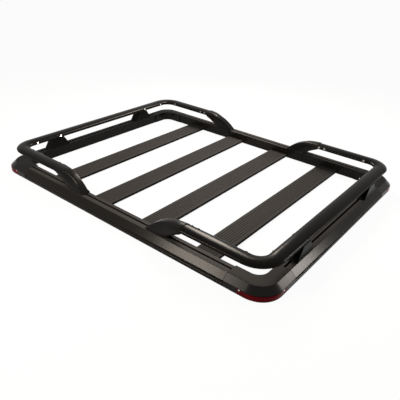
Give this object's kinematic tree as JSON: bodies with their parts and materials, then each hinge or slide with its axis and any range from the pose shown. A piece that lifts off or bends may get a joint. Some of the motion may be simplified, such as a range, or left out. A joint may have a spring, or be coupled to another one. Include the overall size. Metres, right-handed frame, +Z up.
{
  "type": "roof basket",
  "caption": "Open roof basket: extruded rail frame with rounded corner castings, flat crossways slats and raised oval-tube hoops at both ends, for carrying luggage on a vehicle roof.",
  "frame": {"origin": "centre of the rectangular footprint, on the flat underside of the rails", "axes": "+X along the long side (along the vehicle), +Y across it, +Z up"},
  "size_m": [1.62, 1.25, 0.133],
  "materials": {
    "rail_black": "satin black powder coat on extruded aluminium",
    "slat_black": "fine-textured black powder coat on extruded aluminium",
    "tube_black": "smooth satin black coat on oval aluminium tube",
    "casting_black": "satin black coat on cast aluminium",
    "lens_red": "dark red moulded reflector"
  },
  "bodies": {
    "root": {"side_rail_left": "rail_black", "side_rail_right": "rail_black", "end_rail_front": "rail_black", "end_rail_rear": "rail_black", "hoop_tube_front": "tube_black", "hoop_tube_rear": "tube_black", "slat_1": "slat_black", "slat_2": "slat_black", "slat_3": "slat_black", "slat_4": "slat_black", "corner_front_left": "casting_black", "corner_front_right": "casting_black", "corner_rear_left": "casting_black", "corner_rear_right": "casting_black", "lens_front_left": "lens_red", "lens_front_right": "lens_red", "lens_rear_left": "lens_red", "lens_rear_right": "lens_red", "hoop_foot_front_left": "casting_black", "hoop_foot_front_right": "casting_black", "hoop_foot_rear_left": "casting_black", "hoop_foot_rear_right": "casting_black", "hoop_bracket_front_left": "casting_black", "hoop_bracket_front_right": "casting_black", "hoop_bracket_rear_left": "casting_black", "hoop_bracket_rear_right": "casting_black"}
  },
  "joints": []
}
